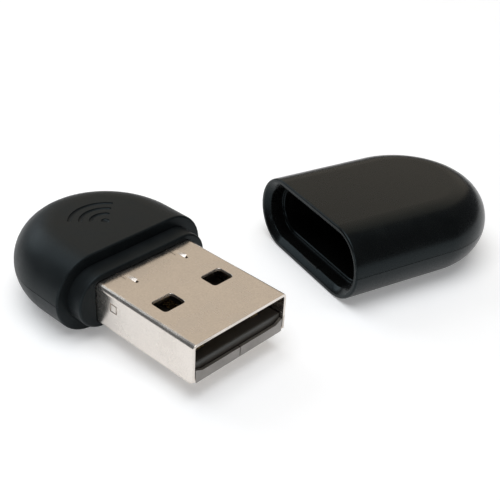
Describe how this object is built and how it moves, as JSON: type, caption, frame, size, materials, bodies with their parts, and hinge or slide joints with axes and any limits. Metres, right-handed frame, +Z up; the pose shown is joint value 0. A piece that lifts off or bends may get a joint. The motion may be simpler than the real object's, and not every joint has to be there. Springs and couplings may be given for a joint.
{
  "type": "usb wifi adapter",
  "caption": "Mini wireless network adapter: rounded black housing with a small circuit board inside, a metal bus plug, and the loose push-on plug cap lying beside it.",
  "frame": {"origin": "on the middle line of the housing's flat underside, 4.6 mm behind the rim its collar stands out of", "axes": "+X along the plug towards its tip, +Z up from the table, +Y towards the side where the cap lies; the plane z = 0 is the table"},
  "size_m": [0.0332, 0.0485, 0.0082],
  "materials": {
    "satin_black_plastic": "satin moulded plastic",
    "semi_gloss_black_plastic": "semi-gloss moulded plastic",
    "tongue_plastic": "moulded",
    "nickel_plated_steel": "nickel-plated folded sheet",
    "gold_plated_bronze": "gold-plated",
    "solder_mask": "solder mask on glass-fibre board",
    "chip_resin": "moulded resin",
    "crystal_can": "drawn metal can",
    "ferrite": "pressed ferrite",
    "capacitor_ceramic": "fired ceramic",
    "gilt_copper": "gold-flashed copper"
  },
  "bodies": {
    "adapter": {"housing_shell": "satin_black_plastic", "front_collar": "satin_black_plastic", "usb_shell": "nickel_plated_steel", "usb_insulator": "tongue_plastic", "contact_ground": "gold_plated_bronze", "contact_data_plus": "gold_plated_bronze", "contact_data_minus": "gold_plated_bronze", "contact_vbus": "gold_plated_bronze", "circuit_board": "solder_mask", "wifi_chip": "chip_resin", "crystal": "crystal_can", "voltage_regulator": "chip_resin", "power_inductor": "ferrite", "capacitor_1": "capacitor_ceramic", "capacitor_2": "capacitor_ceramic", "capacitor_3": "capacitor_ceramic", "capacitor_4": "capacitor_ceramic", "capacitor_5": "capacitor_ceramic", "capacitor_6": "capacitor_ceramic", "resistor_1": "chip_resin", "resistor_2": "chip_resin", "resistor_3": "chip_resin", "antenna_trace": "gilt_copper"},
    "cap": {"cap": "semi_gloss_black_plastic"}
  },
  "joints": [
    {"name": "cap_slide", "type": "slide", "parent": "adapter", "child": "cap", "axis": [0.284, 0.9588, 0], "range_m": [0, 0.0148]}
  ]
}
